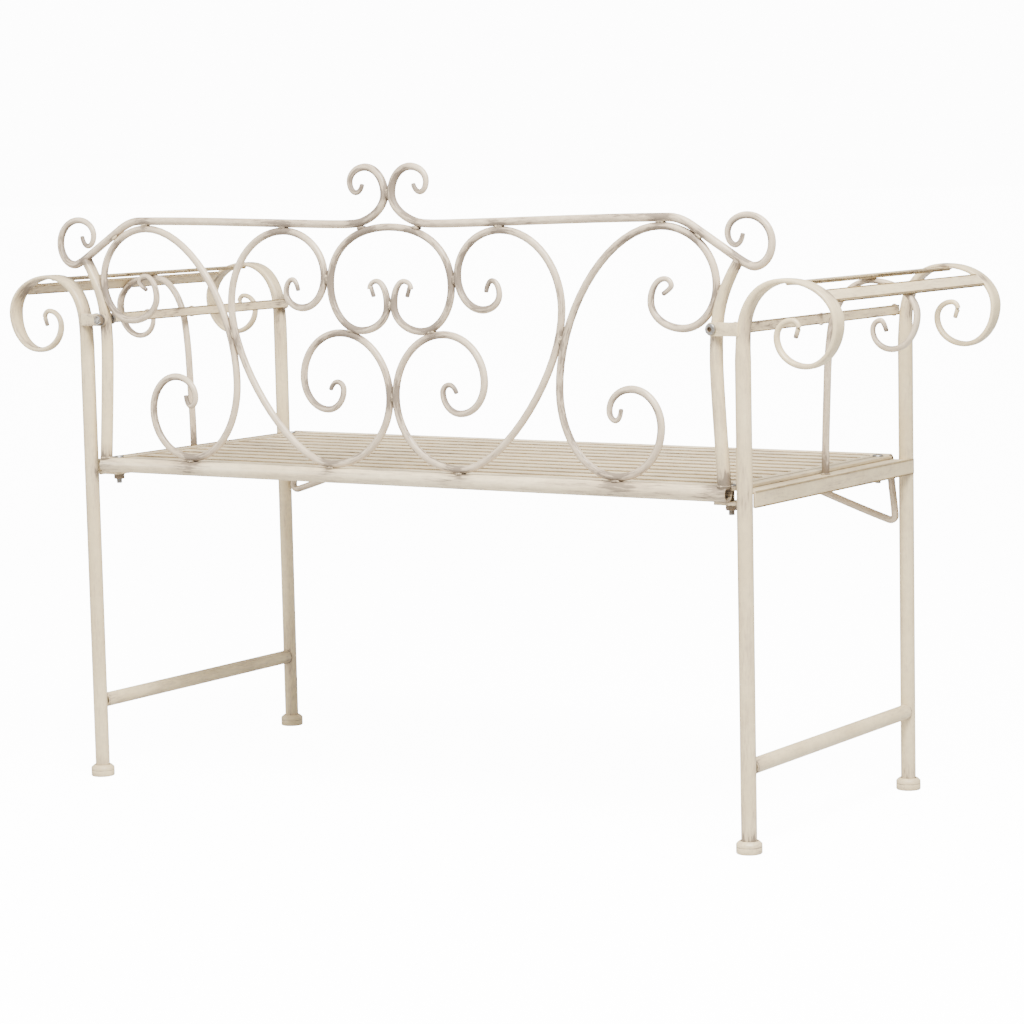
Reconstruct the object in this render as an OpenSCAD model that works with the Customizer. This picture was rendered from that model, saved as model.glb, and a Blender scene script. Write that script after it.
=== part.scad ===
// Two-seat wrought steel garden bench with scrolled arms and a scroll-work backrest.
// Frame: origin on the ground under the middle of the bench, +Z up, the sitter faces -Y,
// the long side lies along X. Every curved bar is forged in a plane that holds X and Z.

/* [Bench] */
// Distance between the leg centres along the bench
leg_span = 1050; // [1000:10:1100]
// Distance between the front and rear leg centres
leg_depth = 440; // [420:5:460]
// Height of the slats' upper face above the ground
seat_h = 453; // [445:1:465]

/* [Tubes and bars] */
// Diameter of the leg, stretcher and seat rail tubes
tube_d = 20; // [18:0.5:22]
// Diameter of the top rail bars
rail_d = 11; // [10:0.5:12]
// Diameter of the scroll-work bars
bar_d = 10; // [8:0.5:10]
// Diameter of the backrest uprights
upright_d = 17; // [15:0.5:19]
// Wall of the leg, stretcher and seat rail tubes
tube_wall = 1.5; // [1.2:0.1:2]
// Height of the lower stretchers' centre line
stretcher_h = 107; // [90:1:140]

/* [Arms] */
// Width of the hammered flat of the arm scrolls
arm_w = 25; // [20:1:28]
// Thickness of the hammered flat of the arm scrolls
arm_t = 6; // [5:0.5:8]
// Width of the three flat strips that join the arm scrolls
strip_w = 18; // [14:1:20]
// Thickness of those strips
strip_t = 4; // [3:0.5:5]
// Height of the inner strip's centre line
inner_strip_h = 648; // [640:1:656]

/* [Seat] */
// Number of seat slats
slat_count = 11; // [10:1:12]
// Width of a slat
slat_w = 30.5; // [26:0.5:31]
// Thickness of a slat
slat_t = 4; // [3:0.5:5]
// Width of the flat bars that close the slats' ends
side_bar_w = 28; // [24:1:30]
// Height of the side rail angle
angle_h = 20; // [18:1:24]
// Width of the side rail angle's ledge
angle_w = 25; // [22:1:25]

/* [Fastenings] */
// Diameter of the bolts
bolt_d = 8; // [6:0.5:8]
// Diameter of the foot caps
foot_d = 33; // [30:1:36]
// Height of the foot caps
foot_h = 16; // [12:1:18]

/* [Hidden] */
$fn = 48;

paint = "#e3d9c8";
zinc = "#9a9a98";
leg_x = leg_span / 2;
leg_y = leg_depth / 2;
tube_r = tube_d / 2;
tube_bore = tube_d - 2 * tube_wall;
leg_base = 3;                             // the leg's end inside its foot cap
slat_z = seat_h - slat_t;                 // underside of the slats, top of the side rail's ledge
rail_z = seat_h + 2 - tube_r;             // centre line of the seat rails
rail_x = leg_x - 23;                      // half length of the seat rails
angle_t = 3;
angle_x = leg_x + tube_r;                 // outer face of the side rail angle
side_bar_x = angle_x - angle_w - 2;       // outer edge of the seat's side bar
slat_room = leg_depth - tube_d;           // between the seat rails
slat_pitch = slat_room / slat_count;
lug_t = 4;
lug_margin = 14;                          // from the lug's bolt to its free end
lug_z = rail_z - tube_r - lug_t;          // underside of the seat lugs
seat_bolt_x = side_bar_x - side_bar_w / 2;
seat_bolt_y = leg_y - tube_r - 12;
back_z = inner_strip_h;                   // height of the backrest bolts
upright_x = 488;                          // the upright's centre line at the bolt
bracket_t = 3.5;
bracket_y = leg_y + upright_d / 2;        // front face of the backrest bracket
bracket_w = 17;
cross_bar_x = 175;
cross_bar_w = 24;
cross_bar_t = 5;
tip_t = 6;                                // bar thickness at the blunt end of a curl
ring_weld_z = 672;                        // where the ring's two curls touch
arm_crest_z = 707;                        // centre of the strap at the top of the arm scroll
shoulder_x = leg_x + 112;                 // middle of the outer strip's underside
shoulder_z = 687;
shoulder_tilt = 46;
strip_end = 4;                            // how far the inner strip runs past the leg's centre
inner_strip_w = 13;
flat_from = 610;                          // height at which the legs' tube starts to flatten
step_angle = 15;                          // bend angle between two rings of a forged bar
rail_lap = 12;                            // how far the side rail laps over the front leg
weld_lap = 2;                             // how far a welded end runs into its neighbour
head_d = 14;                              // heads of the backrest bolts
head_h = 5;
nut_w = 15;                               // across the nuts' corners
nut_h = 6.5;
washer_d = 17;
washer_t = 1.6;

// ---- forged bars -------------------------------------------------------------------------
// A bar is a row of knots. A knot is a place in X and Z, the heading there in degrees
// (0 along +X, 90 along +Z), the bar's thickness in its plane and width across it, and how
// fully the stretch that follows bends, 1 being the bend of a true arc.
function knot(x, z, heading, t = bar_d, w = undef, full = 1) =
    [x, z, heading, t, is_undef(w) ? t : w, full];

function turn(a, b) = let (d = (b[2] - a[2]) % 360) d > 180 ? d - 360 : d < -180 ? d + 360 : d;
function cross2(p, q) = p[0] * q[1] - p[1] * q[0];
function along(h) = [cos(h), sin(h)];

// Lengths of the two tangents that shape the stretch between two knots
function reach(a, b) =
    let (d = [b[0] - a[0], b[1] - a[1]], ta = along(a[2]), tb = along(b[2]), q = abs(turn(a, b)))
    q < 4 ? [norm(d) / 3, norm(d) / 3]
          : let (k = a[5] * 4 / 3 * tan(q / 4) / tan(q / 2), s = cross2(ta, tb))
            [k * cross2(d, tb) / s, k * cross2(ta, d) / s];

function mix(a, b, s) = a + (b - a) * s;

// One station of the stretch: X, Z, heading, thickness, width
function station(a, b, s) =
    let (r = reach(a, b), p0 = [a[0], a[1]], p3 = [b[0], b[1]],
         p1 = p0 + r[0] * along(a[2]), p2 = p3 - r[1] * along(b[2]), u = 1 - s,
         p = u * u * u * p0 + 3 * u * u * s * p1 + 3 * u * s * s * p2 + s * s * s * p3,
         v = u * u * (p1 - p0) + 2 * u * s * (p2 - p1) + s * s * (p3 - p2))
    [p[0], p[1], atan2(v[1], v[0]), mix(a[3], b[3], s), mix(a[4], b[4], s)];

function stations(knots) = [
    for (i = [0 : len(knots) - 2])
        let (a = knots[i], b = knots[i + 1], n = max(1, round(abs(turn(a, b)) / step_angle)))
        for (j = [0 : n - 1]) station(a, b, j / n),
    station(knots[len(knots) - 2], knots[len(knots) - 1], 1)
];

// bore and bore_end hollow the bar out from its first knot, which must be upright
module forged(knots, y, sides = 8, bore = 0, bore_end = 0) {
    rings = stations(knots);
    n = len(rings);
    round_it = 1 / cos(180 / sides);
    outside = [
        for (s = rings, k = [0 : sides - 1])
            let (a = 360 * (k + 0.5) / sides,
                 out = s[3] / 2 * round_it * cos(a), side = s[4] / 2 * round_it * sin(a))
            [s[0] - out * sin(s[2]), y + side, s[1] + out * cos(s[2])]
    ];
    inside = [
        for (z = [knots[0][1], bore_end], k = [0 : sides - 1])
            let (a = 360 * (k + 0.5) / sides, r = bore / 2 * round_it)
            [knots[0][0] - r * cos(a), y + r * sin(a), z]
    ];
    skin = [
        for (i = [0 : n - 2], k = [0 : sides - 1])
            let (m = (k + 1) % sides)
            [i * sides + m, (i + 1) * sides + m, (i + 1) * sides + k, i * sides + k]
    ];
    in = n * sides;
    first = [for (k = [sides - 1 : -1 : 0]) k];
    rim = [
        for (k = [0 : sides - 1])
            let (m = (k + 1) % sides)
            [in + k, in + m, m, k]
    ];
    wall = [
        for (k = [0 : sides - 1])
            let (m = (k + 1) % sides)
            [in + sides + k, in + sides + m, in + m, in + k]
    ];
    inner_end = [for (k = [sides - 1 : -1 : 0]) in + sides + k];
    last = [for (k = [0 : sides - 1]) (n - 1) * sides + k];
    if (bore > 0)
        polyhedron(concat(outside, inside), concat(skin, rim, wall, [inner_end], [last]));
    else
        polyhedron(outside, concat(skin, [first], [last]));
}

// Straight piece of the round tube, along Z and centred
module tube(length) {
    difference() {
        cylinder(d = tube_d, h = length, center = true);
        cylinder(d = tube_bore, h = length + 2, center = true);
    }
}

module left_or_right(left) {
    mirror([left ? 0 : 1, 0, 0]) children();
}

// ---- end frames --------------------------------------------------------------------------
// Leg tube that is hammered flat above the seat and rolled into the arm scroll
function leg_knots() = [
    knot(leg_x, leg_base, 90, tube_d),
    knot(leg_x, flat_from, 90, tube_d),
    knot(leg_x + 1, flat_from + 30, 87, tube_d * 0.8, tube_d * 1.1, 1.1),
    knot(leg_x + 62, arm_crest_z, 0, arm_t, arm_w),
    knot(leg_x + 131, 655, -90, arm_t, arm_w),
    knot(leg_x + 87, 604, -180, arm_t + 1, arm_w * 0.6),
    knot(leg_x + 47, 639, -270, 8, 9),
    knot(leg_x + 68, 659, -360, 7, 7),
    knot(leg_x + 77, 650, -450, 7, 7),
    knot(leg_x + 73, 639, -468, 6, 6)
];

module leg(left, rear) {
    color(paint)
        left_or_right(left)
        translate([0, rear ? leg_y : -leg_y, 0])
        forged(leg_knots(), 0, 16, tube_bore, flat_from - 10);
}

// Round cap with a socket for the leg
module foot(left, rear) {
    color(paint)
        left_or_right(left)
        translate([leg_x, rear ? leg_y : -leg_y, 0])
        difference() {
            union() {
                cylinder(d = foot_d, h = foot_h - 3);
                translate([0, 0, foot_h - 3]) cylinder(d1 = foot_d, d2 = foot_d - 8, h = 3);
            }
            translate([0, 0, leg_base]) cylinder(d = tube_d + 0.5, h = foot_h);
        }
}

// Round bar that stands on the side rail between the legs and ends in a smaller scroll
function middle_knots() = [
    knot(leg_x - 5, slat_z, 90),
    knot(leg_x - 1, 575, 88),
    knot(leg_x + 4, 630, 82, bar_d, bar_d, 1.05),
    knot(leg_x + 62, arm_crest_z - 10, 0, 7, 13),
    knot(leg_x + 126, 655, -90, 7, 13),
    knot(leg_x + 90, 611, -180, 8, 10),
    knot(leg_x + 64, 635, -270, 7, 7),
    knot(leg_x + 75, 647, -360, 7, 7),
    knot(leg_x + 83, 634, -435, tip_t)
];

module middle_scroll(left) {
    color(paint)
        left_or_right(left)
        forged(middle_knots(), 0, 8);
}

module stretcher(left) {
    color(paint)
        left_or_right(left)
        translate([leg_x, 0, stretcher_h])
        rotate([90, 0, 0])
        tube(slat_room + 2 * weld_lap);
}

// Angle bar between the legs: a ledge that carries the seat and an outer face whose front
// end laps over the front leg
module side_rail(left) {
    length = slat_room + 2 * weld_lap;
    color(paint)
        left_or_right(left)
        translate([angle_x, length / 2, slat_z])
        rotate([90, 0, 0]) {
            linear_extrude(length)
                polygon([
                    [0, 0], [-angle_w, 0], [-angle_w, -angle_t],
                    [-angle_t, -angle_t], [-angle_t, -angle_h], [0, -angle_h]
                ]);
            translate([-angle_t, -angle_h, 0]) cube([angle_t, angle_h, length + rail_lap]);
        }
}

module inner_strip(left) {
    color(paint)
        left_or_right(left)
        translate([leg_x - tube_r - strip_t, -leg_y - strip_end, inner_strip_h - inner_strip_w / 2])
        cube([strip_t, leg_depth + 2 * strip_end, inner_strip_w]);
}

module top_strip(left) {
    length = leg_depth - arm_w + 2 * weld_lap;
    color(paint)
        left_or_right(left)
        translate([leg_x + 54, -length / 2, arm_crest_z - arm_t / 2 - strip_t + 1])
        cube([strip_w, length, strip_t]);
}

// Strip on the outer shoulder of the arm scrolls, tilted to lie against them
module outer_strip(left) {
    length = leg_depth - arm_w + 2 * weld_lap;
    color(paint)
        left_or_right(left)
        translate([shoulder_x, -length / 2, shoulder_z])
        rotate([0, shoulder_tilt, 0])
        translate([-strip_w / 2, 0, 0])
        cube([strip_w, length, strip_t]);
}

// Flat tab from the rear leg to the backrest upright, with the bolt hole at its round end
module back_bracket(left) {
    reach_x = leg_x - upright_x;
    color(paint)
        left_or_right(left)
        translate([upright_x, bracket_y + bracket_t, back_z])
        rotate([90, 0, 0])
        linear_extrude(bracket_t)
        difference() {
            union() {
                circle(d = bracket_w);
                translate([0, -bracket_w / 2]) square([reach_x, bracket_w]);
            }
            circle(d = bolt_d);
        }
}

// Plate under the corner of the seat, welded to the leg
module seat_lug(left, rear) {
    color(paint)
        left_or_right(left)
        mirror([0, rear ? 0 : 1, 0])
        difference() {
            translate([seat_bolt_x - lug_margin, seat_bolt_y - 10, lug_z])
                cube([leg_x - tube_r + weld_lap - seat_bolt_x + lug_margin, 30, lug_t]);
            translate([seat_bolt_x, seat_bolt_y, lug_z - 1]) cylinder(d = bolt_d, h = lug_t + 2);
        }
}

// ---- seat --------------------------------------------------------------------------------
module seat_rail(rear) {
    color(paint)
        translate([0, rear ? leg_y : -leg_y, rail_z])
        rotate([0, 90, 0])
        tube(2 * rail_x);
}

module seat_side_bar(left) {
    color(paint)
        left_or_right(left)
        difference() {
            translate([side_bar_x - side_bar_w, -slat_room / 2 - weld_lap, slat_z])
                cube([side_bar_w, slat_room + 2 * weld_lap, slat_t]);
            for (end = [-1, 1])
                translate([seat_bolt_x, end * seat_bolt_y, slat_z - 1])
                    cylinder(d = bolt_d, h = slat_t + 2);
        }
}

module cross_bar(left) {
    color(paint)
        left_or_right(left)
        translate([cross_bar_x - cross_bar_w / 2, -slat_room / 2 - weld_lap, slat_z - cross_bar_t])
        cube([cross_bar_w, slat_room + 2 * weld_lap, cross_bar_t]);
}

module slat(i) {
    length = 2 * (side_bar_x - side_bar_w);
    color(paint)
        translate([-length / 2, leg_y - tube_r - (i - 0.5) * slat_pitch - slat_w / 2, slat_z])
        cube([length, slat_w, slat_t]);
}

// Bent bar that drops along the front leg and rises under the front seat rail
function knee_knots() = [
    knot(leg_x - 23, rail_z - tube_r + 1, -90),
    knot(leg_x - 17, 372, -87),
    knot(leg_x - 26, 366, -197),
    knot(leg_x - 240, rail_z - tube_r + 3, -197)
];

module knee_brace(left) {
    color(paint)
        left_or_right(left)
        forged(knee_knots(), -leg_y, 8);
}

// ---- backrest ----------------------------------------------------------------------------
function upright_knots() = [
    knot(upright_x + 9, rail_z + tube_r - 1, 94, upright_d),
    knot(upright_x, 610, 90, upright_d),
    knot(upright_x + 4, 667, 78, upright_d * 0.9, upright_d),
    knot(upright_x + 32, 730, 57, upright_d * 0.6, upright_d * 1.1)
];

module upright(left) {
    color(paint)
        left_or_right(left)
        difference() {
            forged(upright_knots(), leg_y, 16);
            translate([upright_x, leg_y - upright_d, back_z])
                rotate([-90, 0, 0])
                cylinder(d = bolt_d, h = 2 * upright_d);
        }
}

// Half of the crest, the rail itself, the drop over the upright and the end scroll
function top_rail_knots() = [
    knot(41, 829, -75, tip_t),
    knot(51, 819, 0, 7),
    knot(61, 833, 90, 8),
    knot(36, 852, 180, rail_d - 1),
    knot(5.5, 817, 270, rail_d),
    knot(46, 780, 345, rail_d),
    knot(90, 778, 361, rail_d),
    knot(424, 784, 360, rail_d),
    knot(457, 773, 328, rail_d),
    knot(517, 735.5, 328, rail_d),
    knot(542, 724, 360, rail_d),
    knot(567, 753, 450, rail_d - 1),
    knot(533, 786, 540, 9),
    knot(506, 765, 630, 8),
    knot(517, 750, 720, 7),
    knot(527, 763, 800, tip_t)
];

module top_rail(left) {
    color(paint)
        left_or_right(left)
        forged(top_rail_knots(), leg_y);
}

function half_ring_knots() = [
    knot(27, 684, 75, tip_t),
    knot(33.5, 693, 90, 6),
    knot(22, 703.5, 180, 7),
    knot(5.3, ring_weld_z, 270),
    knot(48, 638.5, 360),
    knot(97, 698, 450, full = 1.1)
];

// The whole ring: one half outwards from its curl, the other half back into its own
function ring_knots() =
    let (half = half_ring_knots(), n = len(half))
    concat(
        half,
        [knot(0, 774, 540, full = 1.1)],
        [for (i = [n - 1 : -1 : 0])
            let (k = half[i])
            knot(-k[0], k[1], 1080 - k[2], k[3], k[4])]
    );

// The curls are welded to each other where they pass at the middle
module centre_ring() {
    color(paint) {
        forged(ring_knots(), leg_y);
        translate([0, leg_y, ring_weld_z])
            rotate([0, 90, 0])
            cylinder(d = 5, h = 4, center = true);
    }
}

function inner_scroll_knots() = [
    knot(151, 691, 80, tip_t),
    knot(160, 705, 0, 7),
    knot(171, 688, -90, 8),
    knot(145, 667.5, -180),
    knot(107, 711, -270),
    knot(173.5, 769.5, -360),
    knot(265, 670, -450, full = 0.72),
    knot(104, 460, -540),
    knot(5, 552, -630),
    knot(83, 635, -720),
    knot(145, 575, -810),
    knot(106.5, 533, -900, 9),
    knot(80, 560, -990, 8),
    knot(90, 570, -1080, 7),
    knot(101, 560, -1150, tip_t)
];

module inner_scroll(left) {
    color(paint)
        left_or_right(left)
        forged(inner_scroll_knots(), leg_y);
}

function outer_scroll_knots() = [
    knot(414, 690, 30, tip_t),
    knot(425.5, 700, 90, 7),
    knot(416, 708.5, 180, 7),
    knot(396, 680, 270, 9),
    knot(441, 647.5, 360),
    knot(489.5, 702, 450),
    knot(411.5, 773.5, 540, full = 0.9),
    knot(259.5, 566, 630),
    knot(342, 460, 720),
    knot(408, 524.5, 810),
    knot(366, 571, 900),
    knot(333, 543, 990, 8),
    knot(342, 531, 1080, 7),
    knot(350, 545, 1165, tip_t)
];

module outer_scroll(left) {
    color(paint)
        left_or_right(left)
        forged(outer_scroll_knots(), leg_y);
}

// ---- fastenings --------------------------------------------------------------------------
// The left bolt is put in from the front and the right bolt from the rear
module at_back_bolts() {
    for (side = [-1, 1])
        translate([side * upright_x, leg_y + bracket_t / 2, back_z])
            rotate([side > 0 ? -90 : 90, 0, 0])
            children();
}

module back_bolts() {
    grip = upright_d + bracket_t;
    color(zinc)
        at_back_bolts() {
            translate([0, 0, -grip / 2]) cylinder(d = bolt_d, h = grip + 9);
            translate([0, 0, -grip / 2 - head_h])
                difference() {
                    cylinder(d = head_d, h = head_h);
                    translate([0, 0, -1]) cylinder(d = 6, h = 4);
                }
        }
}

module back_nuts() {
    color(zinc)
        at_back_bolts()
        translate([0, 0, (upright_d + bracket_t) / 2])
        difference() {
            union() {
                cylinder(d = washer_d, h = washer_t);
                translate([0, 0, washer_t]) cylinder(d = nut_w, h = nut_h, $fn = 6);
            }
            translate([0, 0, -1]) cylinder(d = bolt_d, h = washer_t + nut_h + 2);
        }
}

module at_seat_bolts(z) {
    for (x = [-seat_bolt_x, seat_bolt_x], y = [-seat_bolt_y, seat_bolt_y])
        translate([x, y, z]) children();
}

module seat_bolts() {
    shank = seat_h - lug_z + 14;
    color(zinc)
        at_seat_bolts(seat_h - shank) {
            cylinder(d = bolt_d, h = shank);
            translate([0, 0, shank])
                difference() {
                    cylinder(d1 = 15, d2 = 11, h = 2.5);
                    translate([0, 0, 1]) cylinder(d = 5, h = 3);
                }
        }
}

module seat_nuts() {
    color(zinc)
        at_seat_bolts(lug_z - washer_t - nut_h)
        difference() {
            cylinder(d = nut_w, h = nut_h, $fn = 6);
            translate([0, 0, -1]) cylinder(d = bolt_d, h = nut_h + 2);
        }
}

module seat_washers() {
    color(zinc)
        at_seat_bolts(lug_z - washer_t)
        difference() {
            cylinder(d = washer_d, h = washer_t);
            translate([0, 0, -1]) cylinder(d = bolt_d, h = washer_t + 2);
        }
}

// ---- drawing -----------------------------------------------------------------------------
leg(true, true);  // rear_leg_left
leg(false, true);  // rear_leg_right
leg(true, false);  // front_leg_left
leg(false, false);  // front_leg_right
foot(true, true);  // foot_rear_left
foot(false, true);  // foot_rear_right
foot(true, false);  // foot_front_left
foot(false, false);  // foot_front_right
middle_scroll(true);  // middle_scroll_left
middle_scroll(false);  // middle_scroll_right
stretcher(true);  // stretcher_left
stretcher(false);  // stretcher_right
side_rail(true);  // side_rail_left
side_rail(false);  // side_rail_right
inner_strip(true);  // inner_strip_left
inner_strip(false);  // inner_strip_right
top_strip(true);  // top_strip_left
top_strip(false);  // top_strip_right
outer_strip(true);  // outer_strip_left
outer_strip(false);  // outer_strip_right
back_bracket(true);  // back_bracket_left
back_bracket(false);  // back_bracket_right
seat_lug(true, true);  // seat_lug_rear_left
seat_lug(false, true);  // seat_lug_rear_right
seat_lug(true, false);  // seat_lug_front_left
seat_lug(false, false);  // seat_lug_front_right
seat_rail(true);  // seat_rail_rear
seat_rail(false);  // seat_rail_front
seat_side_bar(true);  // seat_side_bar_left
seat_side_bar(false);  // seat_side_bar_right
cross_bar(true);  // cross_bar_left
cross_bar(false);  // cross_bar_right
knee_brace(true);  // knee_brace_left
knee_brace(false);  // knee_brace_right
for (i = [1 : slat_count])
    slat(i);
upright(true);  // upright_left
upright(false);  // upright_right
top_rail(true);  // top_rail_left
top_rail(false);  // top_rail_right
centre_ring();
inner_scroll(true);  // inner_scroll_left
inner_scroll(false);  // inner_scroll_right
outer_scroll(true);  // outer_scroll_left
outer_scroll(false);  // outer_scroll_right
back_bolts();
back_nuts();
seat_bolts();
seat_nuts();
seat_washers();
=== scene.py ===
"""Two-seat wrought steel garden bench: forged bars, slats, fastenings and rubbed antique paint."""

import math
import random
from collections import namedtuple

import bmesh
import bpy
from mathutils import Matrix, Vector
from mathutils.kdtree import KDTree


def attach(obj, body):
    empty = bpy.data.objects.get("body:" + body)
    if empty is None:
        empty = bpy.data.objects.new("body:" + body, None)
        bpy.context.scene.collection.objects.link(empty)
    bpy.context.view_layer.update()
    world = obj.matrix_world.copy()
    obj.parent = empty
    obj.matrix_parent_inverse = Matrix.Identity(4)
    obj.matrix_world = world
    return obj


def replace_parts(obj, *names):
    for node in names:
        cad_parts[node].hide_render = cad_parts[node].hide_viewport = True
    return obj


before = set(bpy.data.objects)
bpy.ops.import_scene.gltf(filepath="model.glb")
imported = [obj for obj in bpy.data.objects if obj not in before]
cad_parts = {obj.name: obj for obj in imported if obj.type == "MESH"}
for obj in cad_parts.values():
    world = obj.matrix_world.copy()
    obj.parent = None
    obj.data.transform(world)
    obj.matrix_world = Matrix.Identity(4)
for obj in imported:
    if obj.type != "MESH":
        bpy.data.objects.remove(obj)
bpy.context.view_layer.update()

# Sizes and places are in millimetres, and MM brings them to metres
MM = 0.001
BAR = 10.0                      # scroll-work bar
RAIL = 11.0                     # top rail bar
TIP = 6.0                       # blunt end of a curl
LEG_X, LEG_Y = 525.0, 220.0     # a leg's centre line
TUBE = 20.0                     # leg, stretcher and seat rail tube
WALL = 1.5
STRETCHER_Z = 107.0
SEAT_RAIL_Z = 445.0
SEAT_TOP = 453.0
SLATS = 11
BACK_BOLT_X, BACK_BOLT_Z = 488.0, 648.0
SEAT_BOLT_X, SEAT_BOLT_Y = 494.0, 198.0
BOLT_R = 4.0
WASHER_T = 1.6

SIDES = ((True, "left"), (False, "right"))
ROWS = (("rear", LEG_Y), ("front", -LEG_Y))
X_AXIS, Y_AXIS, Z_AXIS = Vector((1, 0, 0)), Vector((0, 1, 0)), Vector((0, 0, 1))


# ---- camera, floor and lights ---------------------------------------------------------------

CAMERA_PLACE = (-2.3816, 3.5184, 0.8654)                # metres
CAMERA_TURN, CAMERA_DIP, CAMERA_ROLL = 213.683, 6.568, -1.241
FOCAL_LENGTH = 109.41

LIGHT_AIM = Vector((0, 0, 0.45))
SKY_STRENGTH = 0.72
FLOOR_TONE = 0.62
WHITE_TO_THE_EYE = 13.0


def set_up_camera():
    data = bpy.data.cameras.new("camera")
    data.sensor_width = 36.0
    data.lens = FOCAL_LENGTH
    camera = bpy.data.objects.new("camera", data)
    bpy.context.scene.collection.objects.link(camera)
    camera.matrix_world = (
        Matrix.Translation(CAMERA_PLACE)
        @ Matrix.Rotation(math.radians(CAMERA_TURN), 4, "Z")
        @ Matrix.Rotation(math.radians(90 - CAMERA_DIP), 4, "X")
        @ Matrix.Rotation(math.radians(CAMERA_ROLL), 4, "Z")
    )
    bpy.context.scene.camera = camera


def seen_directly(tree, elsewhere, straight_on):
    """A strength that is brighter to the eye than it is as light on the bench."""
    path = tree.nodes.new("ShaderNodeLightPath")
    choose = tree.nodes.new("ShaderNodeMapRange")
    choose.inputs["To Min"].default_value = elsewhere
    choose.inputs["To Max"].default_value = straight_on
    tree.links.new(path.outputs["Is Camera Ray"], choose.inputs["Value"])
    return choose.outputs["Result"]


def new_material(name):
    material = bpy.data.materials.new(name)
    material.use_nodes = True
    return material, material.node_tree, material.node_tree.nodes["Principled BSDF"]


def set_up_floor():
    bm = bmesh.new()
    bmesh.ops.create_circle(bm, cap_ends=True, segments=96, radius=60.0)
    mesh = bpy.data.meshes.new("studio_floor")
    bm.to_mesh(mesh)
    bm.free()
    floor = bpy.data.objects.new("studio_floor", mesh)
    bpy.context.scene.collection.objects.link(floor)
    material, tree, shader = new_material("pale floor")
    shader.inputs["Base Color"].default_value = (FLOOR_TONE, FLOOR_TONE, FLOOR_TONE, 1)
    shader.inputs["Roughness"].default_value = 0.9
    shader.inputs["Emission Color"].default_value = (1, 1, 1, 1)
    glow = seen_directly(tree, 0.0, WHITE_TO_THE_EYE)
    tree.links.new(glow, shader.inputs["Emission Strength"])
    mesh.materials.append(material)


def soft_light(name, place, size, power, colour):
    data = bpy.data.lights.new(name, "AREA")
    data.shape = "SQUARE"
    data.size = size
    data.energy = power
    data.color = colour
    lamp = bpy.data.objects.new(name, data)
    bpy.context.scene.collection.objects.link(lamp)
    lamp.location = place
    lamp.rotation_euler = (LIGHT_AIM - Vector(place)).to_track_quat("-Z", "Y").to_euler()


def set_up_light():
    world = bpy.data.worlds.new("studio")
    world.use_nodes = True
    tree = world.node_tree
    sky = tree.nodes["Background"]
    sky.inputs["Color"].default_value = (1.0, 1.0, 1.0, 1)
    tree.links.new(seen_directly(tree, SKY_STRENGTH, WHITE_TO_THE_EYE), sky.inputs["Strength"])
    bpy.context.scene.world = world
    soft_light("overhead", (-1.4, 1.2, 2.9), size=1.3, power=330, colour=(1.0, 0.99, 0.97))
    soft_light("left_fill", (2.6, 2.0, 1.3), size=1.2, power=70, colour=(1.0, 0.97, 0.92))


# ---- shader helpers -------------------------------------------------------------------------

def new_group(name, sockets_in, sockets_out):
    group = bpy.data.node_groups.new(name, "ShaderNodeTree")
    for label, kind, value in sockets_in:
        socket = group.interface.new_socket(name=label, in_out="INPUT", socket_type=kind)
        socket.default_value = value
    for label, kind in sockets_out:
        group.interface.new_socket(name=label, in_out="OUTPUT", socket_type=kind)
    start = group.nodes.new("NodeGroupInput")
    end = group.nodes.new("NodeGroupOutput")
    return group, start.outputs, end.inputs


def feed(tree, socket, value):
    """Sets a socket to a value, or links it to another node's output."""
    if isinstance(value, bpy.types.NodeSocket):
        tree.links.new(value, socket)
    else:
        socket.default_value = value


def add_noise(tree, vector, scale, detail, roughness=0.55):
    node = tree.nodes.new("ShaderNodeTexNoise")
    node.inputs["Detail"].default_value = detail
    node.inputs["Roughness"].default_value = roughness
    feed(tree, node.inputs["Scale"], scale)
    feed(tree, node.inputs["Vector"], vector)
    return node.outputs["Fac"]


def add_math(tree, kind, *values):
    node = tree.nodes.new("ShaderNodeMath")
    node.operation = kind
    for socket, value in zip(node.inputs, values):
        feed(tree, socket, value)
    return node.outputs[0]


def add_mix(tree, amount, a, b):
    node = tree.nodes.new("ShaderNodeMix")
    node.data_type = "RGBA"
    for label, kind, value in (("Factor", "VALUE", amount), ("A", "RGBA", a), ("B", "RGBA", b)):
        socket = next(s for s in node.inputs if s.name == label and s.type == kind)
        feed(tree, socket, value)
    return next(s for s in node.outputs if s.type == "RGBA")


def smooth_range(tree, value, low, high):
    node = tree.nodes.new("ShaderNodeMapRange")
    node.interpolation_type = "SMOOTHSTEP"
    tree.links.new(value, node.inputs["Value"])
    node.inputs["From Min"].default_value = low
    node.inputs["From Max"].default_value = high
    return node.outputs["Result"]


def place_group(tree, group, **values):
    """Puts a group in a material. An underscore in a value's name stands for a space."""
    node = tree.nodes.new("ShaderNodeGroup")
    node.node_tree = group
    for label, value in values.items():
        feed(tree, node.inputs[label.replace("_", " ")], value)
    return node.outputs


def read_attribute(tree, name, output="Fac"):
    node = tree.nodes.new("ShaderNodeAttribute")
    node.attribute_name = name
    return node.outputs[output]


def read_place(tree):
    return tree.nodes.new("ShaderNodeTexCoord").outputs["Object"]


def add_relief(tree, shader, height, strength, depth):
    """Turns a height into bump on the shader. depth is in metres."""
    relief = tree.nodes.new("ShaderNodeBump")
    relief.inputs["Strength"].default_value = strength
    relief.inputs["Distance"].default_value = depth
    tree.links.new(height, relief.inputs["Height"])
    tree.links.new(relief.outputs["Normal"], shader.inputs["Normal"])


# ---- finishes -------------------------------------------------------------------------------

RUBBED = 0.82, 0.93         # from the first bare speck to bare steel
STAIN_AND_SHADE_SPAN = 0.66, 0.86        # from the first tint to the full stain, or to full painted shade
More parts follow.
